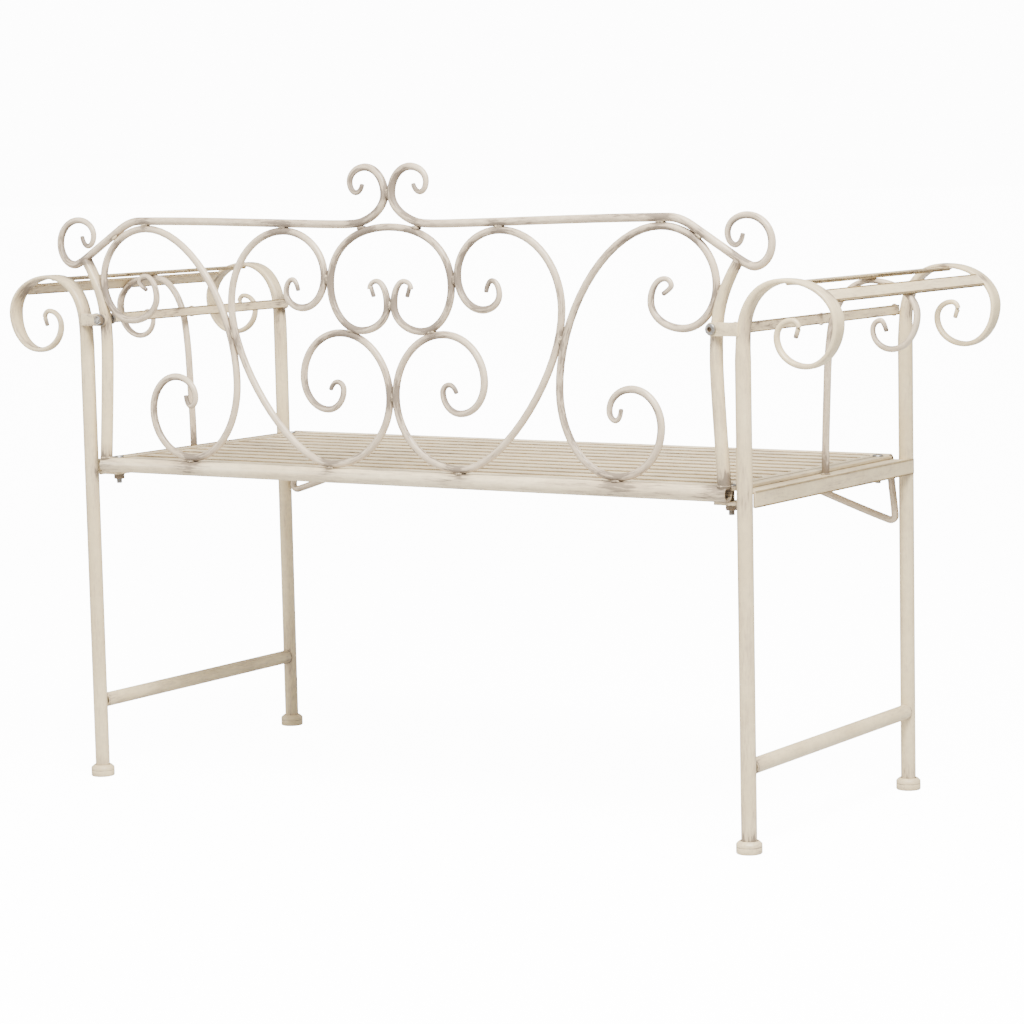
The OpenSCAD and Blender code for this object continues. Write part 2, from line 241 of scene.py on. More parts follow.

# Paint and its clouds
CREAM = (0.74, 0.61, 0.365, 1), (0.66, 0.53, 0.305, 1)
# The next tone is a lighter copy of the cream: painted light, for the seat slats and seat rails that face
# the overhead lamp.
TOP_LIT_CREAM = (0.82, 0.69, 0.45, 1), (0.75, 0.61, 0.38, 1)
ROSE = (0.70, 0.575, 0.405, 1), (0.61, 0.49, 0.34, 1)
# Brown for stains, also painted shade along the arrises between seat slats.
STAIN_AND_SHADE = (0.36, 0.275, 0.195, 1)
BARE_STEEL = (0.150, 0.112, 0.080, 1)
DARK_ZINC, LIGHT_ZINC = (0.20, 0.195, 0.185, 1), (0.46, 0.455, 0.44, 1)
# Brown for rust on the zinc, also painted shade inside bolt recesses.
RUST_AND_SHADE = (0.20, 0.15, 0.10, 1)


def make_rub_group():
    """Where paint is rubbed thin or through, and where the mesh marks painted shade: places that break up
    into streaks along the bar.
    """
    group, given, result = new_group(
        "rub through",
        [("Vector", "NodeSocketVector", (0, 0, 0)), ("Grain", "NodeSocketVector", (0, 0, 0)),
         ("Wear", "NodeSocketFloat", 0.0), ("Patch Scale", "NodeSocketFloat", 70.0)],
        [("Mask", "NodeSocketFloat"), ("Stain", "NodeSocketFloat")],
    )
    blotch = add_noise(group, given["Grain"], given["Patch Scale"], detail=5.0, roughness=0.62)
    streak = add_noise(group, given["Grain"], scale=430.0, detail=3.0, roughness=0.6)
    broad = add_noise(group, given["Vector"], scale=6.0, detail=2.0)
    raised = add_math(group, "MULTIPLY", streak, 0.45)
    for pattern, share in ((blotch, 0.55), (broad, 0.30), (given["Wear"], 0.55)):
        raised = add_math(group, "MULTIPLY_ADD", pattern, share, raised)
    group.links.new(smooth_range(group, raised, *RUBBED), result["Mask"])
    group.links.new(smooth_range(group, raised, *STAIN_AND_SHADE_SPAN), result["Stain"])
    return group


def make_paint_group():
    """Antique paint: a warm base with faint clouds, darker stains (which also bring in the painted shade
    that a mesh marks) and rubbed patches.
    """
    white = (1, 1, 1, 1)
    group, given, result = new_group(
        "antique paint",
        [("Vector", "NodeSocketVector", (0, 0, 0)), ("Paint", "NodeSocketColor", white),
         ("Cloud", "NodeSocketColor", white), ("Stain Colour", "NodeSocketColor", white),
         ("Bare Colour", "NodeSocketColor", white), ("Mask", "NodeSocketFloat", 0.0),
         ("Stain", "NodeSocketFloat", 0.0)],
        [("Color", "NodeSocketColor"), ("Roughness", "NodeSocketFloat"), ("Height", "NodeSocketFloat")],
    )
    cloud = add_noise(group, given["Vector"], scale=11.0, detail=4.0, roughness=0.6)
    cloud = smooth_range(group, cloud, 0.35, 0.68)
    fine = add_noise(group, given["Vector"], scale=130.0, detail=4.0, roughness=0.6)
    fine = smooth_range(group, fine, 0.3, 0.75)
    colour = add_mix(group, cloud, given["Paint"], given["Cloud"])
    # Each mask, the most that it covers, and what it covers the paint with
    for mask, most, cover in (
        (fine, 0.22, given["Stain Colour"]),
        (given["Stain"], 0.55, given["Stain Colour"]),
        (given["Mask"], 0.85, given["Bare Colour"]),
    ):
        colour = add_mix(group, add_math(group, "MULTIPLY", mask, most), colour, cover)
    group.links.new(colour, result["Color"])
    rough = add_math(group, "MULTIPLY_ADD", fine, 0.10, 0.38)
    rough = add_math(group, "MULTIPLY_ADD", given["Mask"], 0.22, rough)
    group.links.new(rough, result["Roughness"])
    skin = add_noise(group, given["Vector"], scale=260.0, detail=3.0, roughness=0.5)
    height = add_math(group, "MULTIPLY_ADD", given["Mask"], -0.6, skin)
    group.links.new(height, result["Height"])
    return group


rub_and_shade_group = make_rub_group()
paint_group = make_paint_group()


def painted(name, patch=70.0, stretch=(1, 1, 1), laid=False, bump=0.12, gain=1.0, base=0.0, tone=CREAM):
    """One paint finish. The streaks follow the bar: laid ones read the bar's own length, the
    others are stretched along X or Y. gain and base scale and lift the rubbing, stains and painted shade
    that a mesh carries."""
    material, tree, shader = new_material(name)
    where = read_place(tree)
    mapping = tree.nodes.new("ShaderNodeMapping")
    mapping.inputs["Scale"].default_value = stretch
    grain = read_attribute(tree, "lie", "Vector") if laid else where
    tree.links.new(grain, mapping.inputs["Vector"])
    # How much darker the finish gets: rubbing and stains, and painted shade where the mesh marks it.
    wear_and_shade = add_math(tree, "MULTIPLY_ADD", read_attribute(tree, "wear_and_shade"), gain, base)
    rub_and_shade = place_group(
        tree, rub_and_shade_group, Vector=where, Grain=mapping.outputs["Vector"], Wear=wear_and_shade, Patch_Scale=patch)
    paint = place_group(
        tree, paint_group, Vector=where, Paint=tone[0], Cloud=tone[1], Stain_Colour=STAIN_AND_SHADE,
        Bare_Colour=BARE_STEEL, Mask=rub_and_shade["Mask"], Stain=rub_and_shade["Stain"])
    tree.links.new(paint["Color"], shader.inputs["Base Color"])
    tree.links.new(paint["Roughness"], shader.inputs["Roughness"])
    add_relief(tree, shader, paint["Height"], strength=bump, depth=0.0006)
    shader.inputs["Coat Weight"].default_value = 0.12
    shader.inputs["Coat Roughness"].default_value = 0.35
    return material


def zinc_plate():
    """Mottled grey plating, a little rusty where it is rubbed; the same brown is painted shade in bolt
    recesses.
    """
    material, tree, shader = new_material("dull zinc plate")
    where = read_place(tree)
    grain = add_noise(tree, where, scale=900.0, detail=4.0)
    wear_and_shade = read_attribute(tree, "wear_and_shade")
    # This brown comes in where the plating is rubbed and, as painted shade, inside bolt recesses.
    rust_and_shade = place_group(tree, rub_and_shade_group, Vector=where, Grain=where, Wear=wear_and_shade, Patch_Scale=260.0)["Stain"]
    colour = add_mix(tree, rust_and_shade, add_mix(tree, grain, DARK_ZINC, LIGHT_ZINC), RUST_AND_SHADE)
    tree.links.new(colour, shader.inputs["Base Color"])
    tree.links.new(add_math(tree, "MULTIPLY_ADD", grain, 0.3, 0.28), shader.inputs["Roughness"])
    tree.links.new(add_math(tree, "MULTIPLY_ADD", rust_and_shade, -0.5, 0.95), shader.inputs["Metallic"])
    add_relief(tree, shader, grain, strength=0.2, depth=0.0003)
    return material


PAINT = {
    "scroll": painted(
        "rubbed paint on scroll-work", patch=110.0, stretch=(0.16, 1, 1), laid=True, bump=0.16,
        base=0.17, tone=ROSE),
    "arm": painted(
        "rubbed paint on legs and arms", patch=90.0, stretch=(0.16, 1, 1), laid=True, bump=0.10,
        gain=0.8, base=0.02),
    # Seat slats and seat rails: the lighter cream of this finish is painted light, as they face the lamp
    # overhead.
    "slat": painted(
        "rubbed paint along the seat", patch=110.0, stretch=(0.10, 1, 1), bump=0.14, gain=0.9,
        base=0.07, tone=TOP_LIT_CREAM),
    "depth": painted(
        "rubbed paint across the ends", patch=90.0, stretch=(1, 0.16, 1), gain=0.7, base=-0.02),
    "weld": painted("paint over weld metal", patch=200.0, bump=0.2, gain=0.8),
}
ZINC = zinc_plate()


# ---- shaping helpers ------------------------------------------------------------------------

def heading_vector(degrees):
    return Vector((math.cos(math.radians(degrees)), math.sin(math.radians(degrees))))


def new_worn_mesh():
    """A bmesh whose points carry how much darker their finish is, from 0 to 1: mostly rubbed and stained
    paint, and painted shade between the seat slats and in bolt recesses.
    """
    bm = bmesh.new()
    bm.verts.layers.float.new("wear_and_shade")
    return bm


def ring_edges(verts):
    return list(dict.fromkeys(e for v in verts for e in v.link_edges))


def next_ring(bm, edges):
    """Pulls a ring of edges out into the next one and returns its points and edges."""
    made = bmesh.ops.extrude_edge_only(bm, edges=edges)["geom"]
    verts = [g for g in made if isinstance(g, bmesh.types.BMVert)]
    fresh = set(verts)
    edges = [
        g for g in made
        if isinstance(g, bmesh.types.BMEdge) and g.verts[0] in fresh and g.verts[1] in fresh]
    return verts, edges


def finish(bm, name, nodes, material, mirrored=False, smooth=40.0):
    """Turns the mesh the right way out, smooths it and puts it in the bench."""
    if mirrored:
        bmesh.ops.scale(bm, vec=(-1, 1, 1), verts=bm.verts)
    bmesh.ops.recalc_face_normals(bm, faces=bm.faces)
    for f in bm.faces:
        f.smooth = True
    for e in bm.edges:
        e.smooth = len(e.link_faces) != 2 or e.calc_face_angle(0) < math.radians(smooth)
    mesh = bpy.data.meshes.new(name)
    bm.to_mesh(mesh)
    bm.free()
    mesh.materials.append(material)
    piece = bpy.data.objects.new(name, mesh)
    bpy.context.scene.collection.objects.link(piece)
    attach(piece, "root")
    if nodes:
        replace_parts(piece, *nodes)
    return piece


# ---- welds ----------------------------------------------------------------------------------

# Where two bars of the backrest meet: place in X and Z, and the way the seam runs.
# Those in the middle have no mirror image
BACK_WELDS = [
    (44, 773, -12), (102, 706, 90), (65, 637.5, 8), (173.5, 774.2, 0), (263, 631, 78),
    (411.5, 778.8, 0), (466, 761.5, -35), (494, 690, 80), (0.001, 672, 90), (0.001, 817, 90),
    (0.001, 552, 90), (520, 730, -32),
]
# Where a bar of the backrest stands on the rear seat rail
FOOT_WELDS = [104, 342]
RAIL_TOP = SEAT_RAIL_Z + TUBE / 2

# Every place near which the paint is rubbed, on one half of the bench: X, Y and Z
RUBBED_SPOTS = [(x, LEG_Y, z) for x, z, _ in BACK_WELDS] + [(x, LEG_Y, RAIL_TOP) for x in FOOT_WELDS]
RUBBED_SPOTS += [
    (497, LEG_Y, RAIL_TOP), (488, LEG_Y + 6, 640), (489, LEG_Y, 632),       # upright
    (520, 0, 450), (587, 0, 702), (514, 0, 648), (640, 0, 688),             # middle scroll
    (502, -LEG_Y, 436), (285, -LEG_Y, 436),                                 # knee brace
]
for end in (-1, 1):
    RUBBED_SPOTS += [
        (LEG_X, end * LEG_Y, 12),                               # foot
        (LEG_X - 8, end * LEG_Y, 436),                          # seat lug
        (LEG_X, end * (LEG_Y - 10), STRETCHER_Z),               # stretcher
        (514, end * LEG_Y, 648),                                # inner strip
        (588, end * 212, 705), (640, end * 212, 690),           # top and outer strips
    ]

weld_tree = KDTree(len(RUBBED_SPOTS) * 2)
for n, (x, y, z) in enumerate(RUBBED_SPOTS):
    weld_tree.insert(Vector((x, y, z)) * MM, 2 * n)
    weld_tree.insert(Vector((-x, y, z)) * MM, 2 * n + 1)
weld_tree.balance()


def near_weld(place, core=5.0, spread=11.0):
    """1 at a weld, fading to 0 a few centimetres away."""
    distance = weld_tree.find(place)[2] / MM
    return math.exp(-max(distance - core, 0.0) / spread)


def bead(bm, centre, along, across, size, seed):
    """One lump of weld metal. size is half its length along the seam, across it, and its rise."""
    wear_and_shade = bm.verts.layers.float["wear_and_shade"]
    made = bmesh.ops.create_icosphere(bm, subdivisions=2, radius=1.0)["verts"]
    rand = random.Random(seed)
    along = along.normalized()
    rise = along.cross(across).normalized()
    across = rise.cross(along)
    place = Matrix((along * size[0], across * size[1], rise * size[2])).transposed().to_4x4()
    for v in made:
        v.co *= 1.0 + rand.uniform(-0.12, 0.12)
        v[wear_and_shade] = 0.35 + rand.uniform(0.0, 0.45)
    bmesh.ops.transform(bm, matrix=Matrix.Translation(centre) @ place, verts=made)
    bmesh.ops.scale(bm, vec=(MM, MM, MM), verts=made)


def collar(bm, centre, axis, radius, thick, seed):
    """A run of weld round the end of a bar."""
    rand = random.Random(seed)
    count = max(7, round(radius * 2 * math.pi / (thick * 1.5)))
    side = axis.orthogonal().normalized()
    for k in range(count):
        out = Matrix.Rotation(2 * math.pi * k / count, 3, axis) @ side
        size = (thick * rand.uniform(1.0, 1.3), thick * 0.7, thick * rand.uniform(0.6, 0.8))
        bead(bm, centre + out * radius, axis.cross(out), out, size, seed * 31 + k)


def make_backrest_welds():
    bm = new_worn_mesh()
    for n, (x, z, heading) in enumerate(BACK_WELDS):
        for m, side in enumerate((-1, 1) if x > 1 else (1,)):
            along = heading_vector(heading)
            along = Vector((side * along.x, 0, along.y))
            for face in (-1, 1):
                centre = Vector((side * x, LEG_Y + face * 2.9, z))
                bead(bm, centre, along, Y_AXIS.cross(along), (6.0, 2.6, 1.9), n * 7 + m * 3 + face)
    for n, x in enumerate(FOOT_WELDS):
        for side in (-1, 1):
            for face in (-1, 1):
                centre = Vector((side * x, LEG_Y + face * 4.2, RAIL_TOP + 0.2))
                bead(bm, centre, X_AXIS, Y_AXIS, (6.0, 2.2, 1.8), 100 + n * 5 + side + face * 2)
    for side in (-1, 1):
        collar(bm, Vector((side * 496.6, LEG_Y, RAIL_TOP + 0.4)), Z_AXIS, 8.0, 1.7, 150 + side)
    finish(bm, "backrest_welds", [], PAINT["weld"])


def make_leg_welds(bm, side, end):
    """The welds of one leg: stretcher, inner strip, top strip and seat lug."""
    stretcher_end = end * (LEG_Y - TUBE / 2 + 0.8)
    seed = 240 + side * 9 + end * 4
    collar(bm, Vector((side * LEG_X, stretcher_end, STRETCHER_Z)), Y_AXIS, 9.8, 1.5, 210 + side + 3 * end)
    for n, z in enumerate((655, 641.4)):
        bead(bm, Vector((side * 511.4, end * (LEG_Y - 5), z)), Y_AXIS, X_AXIS, (6, 2, 1.6), seed + n)
    for x in (579.5, 596.5):
        bead(bm, Vector((side * x, end * 207.5, 704)), X_AXIS, Y_AXIS, (4, 2, 1.6), seed + 2)
    bead(bm, Vector((side * 512, end * (LEG_Y - 7), 431.5)), Y_AXIS, Z_AXIS, (7, 2, 1.6), seed + 3)


def make_frame_welds():
    bm = new_worn_mesh()
    for side in (-1, 1):
        collar(bm, Vector((side * 520, 0, 449.8)), Z_AXIS, 5.2, 1.4, 200 + side)
        for end in (-1, 1):
            make_leg_welds(bm, side, end)
        # The middle scroll at the inner strip, then at the top strip
        for z in (641.5, 654.5):
            bead(bm, Vector((side * 516, 0, z)), Y_AXIS, Z_AXIS, (5, 1.6, 2.2), 300 + side)
        bead(bm, Vector((side * 587, 0, 700.4)), Y_AXIS, X_AXIS, (6.5, 8, 1.6), 310 + side)
        # The knee brace under the front seat rail
        collar(bm, Vector((side * 502, -LEG_Y, 435.6)), Z_AXIS, 4.6, 1.3, 320 + side)
    finish(bm, "frame_welds", [], PAINT["weld"])


# ---- forged bars ----------------------------------------------------------------------------

# A place on a bar in X and Z, its heading there, its section, and the fullness of the next bend
Knot = namedtuple("Knot", "x z heading thick width full")
# A stop between knots, where a ring is laid, and how sharply the bar bends there
Stop = namedtuple("Stop", "place heading thick width sharp")

STRAIGHT = 4                # degrees of bend under which two knots are joined straight
END_SIZE = 0.72             # the eased end of a bar, as a part of its section
END_REACH = 0.18            # how far the end stands out, as a part of the thickness
ROUND_TO, FLAT_SPAN = 1.05, 1.6     # width over thickness of a round bar, and what more makes a flat
SQUARED = 0.52              # how much squarer a flat is than a round bar
TIP_FADE = 9.0              # how far from its ends a bar is rubbed
INSIDE_WEAR, TIP_WEAR, WELD_WEAR = 0.36, 0.45, 0.45
BEND_GAIN = 4.0             # how soon a tighter bend counts as a full one for wear


def knot(x, z, heading, thick=BAR, width=None, full=1.0):
    return Knot(x, z, heading, thick, thick if width is None else width, full)


def bend_between(a, b):
    return (b.heading - a.heading + 180.0) % 360.0 - 180.0


def cross(p, q):
    return p.x * q.y - p.y * q.x


def tangent_reach(a, b):
    """How far the curve from a to b is pulled along each knot's heading."""
    span = Vector((b.x - a.x, b.z - a.z))
    bend = abs(bend_between(a, b))
    if bend < STRAIGHT:
        return span.length / 3, span.length / 3
    ta, tb = heading_vector(a.heading), heading_vector(b.heading)
    k = a.full * 4 / 3 * math.tan(math.radians(bend / 4)) / math.tan(math.radians(bend / 2))
    return k * cross(span, tb) / cross(ta, tb), k * cross(ta, span) / cross(ta, tb)


def stations(knots, step=6.0, longest=16.0):
    """Evenly spread stops along a bar, one for each step of bend or longest stretch."""
    stops = []
    for n, (a, b) in enumerate(zip(knots, knots[1:])):
        reach_a, reach_b = tangent_reach(a, b)
        p0, p3 = Vector((a.x, a.z)), Vector((b.x, b.z))
        p1 = p0 + heading_vector(a.heading) * reach_a
        p2 = p3 - heading_vector(b.heading) * reach_b
        length = (p3 - p0).length
        count = max(1, round(abs(bend_between(a, b)) / step), math.ceil(length / longest))
        last = count + 1 if n == len(knots) - 2 else count
        sharp = math.radians(bend_between(a, b)) / max(length, 1.0)
        for j in range(last):
            s = j / count
            u = 1 - s
            p = p0 * u ** 3 + p1 * 3 * u * u * s + p2 * 3 * u * s * s + p3 * s ** 3
            v = (p1 - p0) * u * u + (p2 - p1) * 2 * u * s + (p3 - p2) * s * s
            thick = a.thick + (b.thick - a.thick) * s
            width = a.width + (b.width - a.width) * s
            stops.append(Stop(p, math.atan2(v.y, v.x), thick, width, sharp))
    return stops


def signed_power(value, power):
    return math.copysign(abs(value) ** power, value)


def squareness(stop):
    """The power that squares a section: 1 on a round bar, less as it is hammered wide and thin."""
    flat = min(max((stop.width / stop.thick - ROUND_TO) / FLAT_SPAN, 0.0), 1.0)
    return 1.0 - SQUARED * flat


def new_ring_mesh(sides):
    """A bmesh with one ring, whose points remember their angle round the bar."""
    bm = new_worn_mesh()
    angle = bm.verts.layers.float.new("angle")
    bm.verts.layers.float_vector.new("lie")
    ring = bmesh.ops.create_circle(bm, segments=sides, radius=1.0, cap_ends=False)["verts"]
    for v in ring:
        v[angle] = math.atan2(v.co.y, v.co.x)
    return bm, ring


def forge(name, knots, y, left=True, sides=20, paint="scroll", start=END_REACH):
    """Draws a ring along the knots; wide thin sections turn from round to a flat with eased edges."""
    stops = stations(knots)
    bm, ring = new_ring_mesh(sides)
    wear_and_shade, angle = bm.verts.layers.float["wear_and_shade"], bm.verts.layers.float["angle"]
    lie = bm.verts.layers.float_vector["lie"]
    lengths = [0.0]
    for a, b in zip(stops, stops[1:]):
        lengths.append(lengths[-1] + (b.place - a.place).length)
    total = lengths[-1]
    start_at = random.Random(name + str(left)).uniform(0, 5000)

    def lay(verts, stop, travelled, grow=1.0, slide=0.0):
        power = squareness(stop)
        ahead = Vector((math.cos(stop.heading), math.sin(stop.heading)))
        normal = Vector((-ahead.y, ahead.x))
        centre = stop.place + ahead * slide
        inward = max(-1.0, min(1.0, stop.sharp * stop.thick * BEND_GAIN))
        near_tip = math.exp(-min(travelled, total - travelled) / TIP_FADE)
        for v in verts:
            c, s = math.cos(v[angle]), math.sin(v[angle])
            u = signed_power(c, power) * stop.thick / 2 * grow
            w = signed_power(s, power) * stop.width / 2 * grow
            v.co = Vector((centre.x + normal.x * u, y + w, centre.y + normal.y * u)) * MM
            v[lie] = Vector((start_at + travelled, c * stop.thick / 2, s * stop.width / 2)) * MM
            darkened = INSIDE_WEAR * max(0.0, c * inward) + TIP_WEAR * near_tip
            v[wear_and_shade] = min(1.0, darkened + WELD_WEAR * near_weld(v.co.copy()))

    edges = ring_edges(ring)
    first, last = stops[0], stops[-1]
    lay(ring, first, 0.0, END_SIZE, -first.thick * start)
    bmesh.ops.edgeloop_fill(bm, edges=edges)
    for stop, travelled in zip(stops, lengths):
        ring, edges = next_ring(bm, edges)
        lay(ring, stop, travelled)
    ring, edges = next_ring(bm, edges)
    lay(ring, last, total, END_SIZE, last.thick * END_REACH)
    bmesh.ops.edgeloop_fill(bm, edges=edges)
    return finish(bm, name + ("_left" if left else "_right"), [], PAINT[paint], mirrored=not left)


LEG = [
    knot(525, 3, 90, 20), knot(525, 610, 90, 20), knot(526, 640, 87, 16, 22, 1.1),
    knot(587, 707, 0, 6, 25), knot(656, 655, -90, 6, 25), knot(612, 604, -180, 7, 15),
    knot(572, 639, -270, 8, 9), knot(593, 659, -360, 7, 7), knot(602, 650, -450, 7, 7),
    knot(598, 639, -468, 6, 6),
]
MIDDLE = [
    knot(520, 449, 90), knot(524, 575, 88), knot(529, 630, 82, 10, 10, 1.05),
    knot(587, 697, 0, 7, 13), knot(651, 655, -90, 7, 13), knot(615, 611, -180, 8, 10),
    knot(589, 635, -270, 7, 7), knot(600, 647, -360, 7, 7), knot(608, 634, -435, TIP),
]
KNEE = [knot(502, 436, -90), knot(508, 372, -87), knot(499, 366, -197), knot(285, 438, -197)]
UPRIGHT = [
    knot(497, 454, 94, 17), knot(488, 610, 90, 17), knot(492, 667, 78, 15.3, 17),
    knot(520, 730, 57, 10.2, 18.7),
]
TOP_RAIL = [
    knot(41, 829, -75, TIP), knot(51, 819, 0, 7), knot(61, 833, 90, 8), knot(36, 852, 180, 10),
    knot(5.5, 817, 270, RAIL), knot(46, 780, 345, RAIL), knot(90, 778, 361, RAIL),
    knot(424, 784, 360, RAIL), knot(457, 773, 328, RAIL), knot(517, 735.5, 328, RAIL),
    knot(542, 724, 360, RAIL), knot(567, 753, 450, 10), knot(533, 786, 540, 9),
    knot(506, 765, 630, 8), knot(517, 750, 720, 7), knot(527, 763, 800, TIP),
]
HALF_RING = [
    knot(27, 684, 75, TIP), knot(33.5, 693, 90, 6), knot(22, 703.5, 180, 7), knot(5.3, 672, 270),
    knot(48, 638.5, 360), knot(97, 698, 450, full=1.1),
]
RING = HALF_RING + [knot(0, 774, 540, full=1.1)] + [
    knot(-k.x, k.z, 1080 - k.heading, k.thick, k.width) for k in reversed(HALF_RING)]
INNER = [
    knot(151, 691, 80, TIP), knot(160, 705, 0, 7), knot(171, 688, -90, 8), knot(145, 667.5, -180),
    knot(107, 711, -270), knot(173.5, 769.5, -360), knot(265, 670, -450, full=0.72),
    knot(104, 460, -540), knot(5, 552, -630), knot(83, 635, -720), knot(145, 575, -810),
    knot(106.5, 533, -900, 9), knot(80, 560, -990, 8), knot(90, 570, -1080, 7),
    knot(101, 560, -1150, TIP),
]
OUTER = [
    knot(414, 690, 30, TIP), knot(425.5, 700, 90, 7), knot(416, 708.5, 180, 7), knot(396, 680, 270, 9),
    knot(441, 647.5, 360), knot(489.5, 702, 450), knot(411.5, 773.5, 540, full=0.9),
    knot(259.5, 566, 630), knot(342, 460, 720), knot(408, 524.5, 810), knot(366, 571, 900),
    knot(333, 543, 990, 8), knot(342, 531, 1080, 7), knot(350, 545, 1165, TIP),
]


def make_forged_bars():
    for left, side in SIDES:
        for row, y in ROWS:
            leg = forge(row + "_leg_and_arm", LEG, y, left, 28, "arm", start=0.05)
            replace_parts(leg, f"{row}_leg_{side}")
        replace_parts(forge("middle_bar", MIDDLE, 0, left), f"middle_scroll_{side}")
        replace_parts(forge("knee_bar", KNEE, -LEG_Y, left), f"knee_brace_{side}")
        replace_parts(forge("upright_bar", UPRIGHT, LEG_Y, left, 28, "arm"), f"upright_{side}")
        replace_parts(forge("top_rail_bar", TOP_RAIL, LEG_Y, left), f"top_rail_{side}")
        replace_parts(forge("inner_scroll_bar", INNER, LEG_Y, left), f"inner_scroll_{side}")
        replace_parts(forge("outer_scroll_bar", OUTER, LEG_Y, left), f"outer_scroll_{side}")
    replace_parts(forge("ring_bar", RING, LEG_Y), "centre_ring")


# ---- turned pieces --------------------------------------------------------------------------

def turn_piece(bm, profile, sides, place, closed=True, darkened=()):
    """Carries a ring through the profile's radii and heights, round the place's own Z axis. A
    closed profile is joined to its own start, an open one is capped. Its last argument lists
    darkened rings: rubbed edges, the groove of a foot, and painted shade in a bolt's recess."""
    wear_and_shade = bm.verts.layers.float["wear_and_shade"]
    ring = bmesh.ops.create_circle(bm, segments=sides, radius=1.0, cap_ends=False)["verts"]
    start_edges = edges = ring_edges(ring)
    whole = list(ring)
    radius = 1.0
    for n, (r, height) in enumerate(profile):
        if n:
            ring, edges = next_ring(bm, edges)
            whole += ring
        for v in ring:
            v.co = Vector((v.co.x * r / radius, v.co.y * r / radius, height))
            v[wear_and_shade] = 0.9 if n in darkened else 0.1
        radius = r
    if closed:
        bmesh.ops.bridge_loops(bm, edges=start_edges + edges)
    else:
        bmesh.ops.edgeloop_fill(bm, edges=start_edges)
        bmesh.ops.edgeloop_fill(bm, edges=edges)
    bmesh.ops.transform(bm, matrix=place, verts=whole)
    bmesh.ops.scale(bm, vec=(MM, MM, MM), verts=whole)


def make_tube(name, node, centre, turned, length, longest=18.0, rim=0.4):
    """A straight length of the round tube, open at both ends, with eased rims."""
    count = math.ceil(length / longest)
    half = length / 2
    r, inner = TUBE / 2, TUBE / 2 - WALL
    profile = [(inner, half), (inner, -half), (r - rim, -half), (r, -half + rim)]
    profile += [(r, -half + length * k / count) for k in range(1, count)]
    profile += [(r, half - rim), (r - rim, half)]
    bm = new_worn_mesh()
    turn_piece(bm, profile, 32, Matrix.Translation(centre) @ turned)
    wear_and_shade = bm.verts.layers.float["wear_and_shade"]
    for v in bm.verts:
        v[wear_and_shade] = min(1.0, 0.08 + 0.6 * near_weld(v.co))
    # Seat rails take the seat's finish, whose lighter cream is painted light.
    return finish(bm, name, [node], PAINT["slat" if "rail" in name else "depth"])


def make_tubes():
    along_x = Matrix.Rotation(math.pi / 2, 4, "Y")
    along_y = Matrix.Rotation(math.pi / 2, 4, "X")
    for left, side in SIDES:
        x = LEG_X if left else -LEG_X
        make_tube("stretcher_tube_" + side, "stretcher_" + side, (x, 0, STRETCHER_Z), along_y, 424)
    for row, y in ROWS:
        make_tube("seat_rail_tube_" + row, "seat_rail_" + row, (0, y, SEAT_RAIL_Z), along_x, 1004)


def make_feet():
    socket = [(10.6, 3), (10.6, 15.2), (11.2, 16)]
    shoulder = [(12.2, 16), (13.2, 15.4), (15.8, 13.0), (16.4, 12.2)]
    groove = [(16.5, 9.0), (16.1, 8.5), (16.5, 8.0)]
    sole = [(16.5, 1.0), (15.7, 0.0)]
    bottom_of_groove = len(socket) + len(shoulder) + 1
    for left, side in SIDES:
        for row, y in ROWS:
            bm = new_worn_mesh()
            place = Matrix.Translation((LEG_X if left else -LEG_X, y, 0))
            # The ring at the bottom of the groove is darkened, drawing a brown line round the foot.
            turn_piece(
                bm, socket + shoulder + groove + sole, 40, place, closed=False, darkened=(bottom_of_groove,))
            finish(bm, f"foot_cap_{row}_{side}", [f"foot_{row}_{side}"], PAINT["depth"])


# ---- flat bars, plates and slats -------------------------------------------------------------

ARRIS_ANGLE = 35            # degrees
FLAT_AREA = 60              # square millimetres
FLAT_CORNERS = 12


def is_arris(edge):
    return len(edge.link_faces) == 2 and edge.calc_face_angle(0) > math.radians(ARRIS_ANGLE)


def is_flat(face):
    return face.calc_area() > FLAT_AREA * MM * MM and len(face.verts) <= FLAT_CORNERS


def ease_edges(name, node, radius=0.7, rim=1.6, paint="slat", darkened=0.24, unworn=0.04):
    """A bar or plate with its arrises rounded over and darker along them: paint rubbed thinner, and on
    the seat slats also painted shade for the gaps between them.
    """
    bm = bmesh.new()
    bm.from_mesh(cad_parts[node].data)
    wear_and_shade = bm.verts.layers.float.new("wear_and_shade")
    bmesh.ops.remove_doubles(bm, verts=bm.verts, dist=1e-6)
    bmesh.ops.dissolve_limit(bm, angle_limit=math.radians(1.5), verts=bm.verts, edges=bm.edges)
    bmesh.ops.bevel(
        bm, geom=[e for e in bm.edges if is_arris(e)], offset=radius * MM, offset_type="OFFSET",
        segments=3, profile=0.5, affect="EDGES", clamp_overlap=True, material=-1)
    flats = [f for f in bm.faces if is_flat(f)]
    # Every point starts at the arris level: rubbed paint, and on the seat slats painted shade for the
    # gaps; the flats are set lower next.
    for v in bm.verts:
        v[wear_and_shade] = darkened
    if flats:
        bmesh.ops.inset_individual(bm, faces=flats, thickness=rim * MM, depth=0.0, use_even_offset=True)
        for f in flats:
            for v in f.verts:
                v[wear_and_shade] = unworn
    for v in bm.verts:
        v[wear_and_shade] = min(1.0, v[wear_and_shade] + 0.3 * near_weld(v.co))
    return finish(bm, name, [node], PAINT[paint])


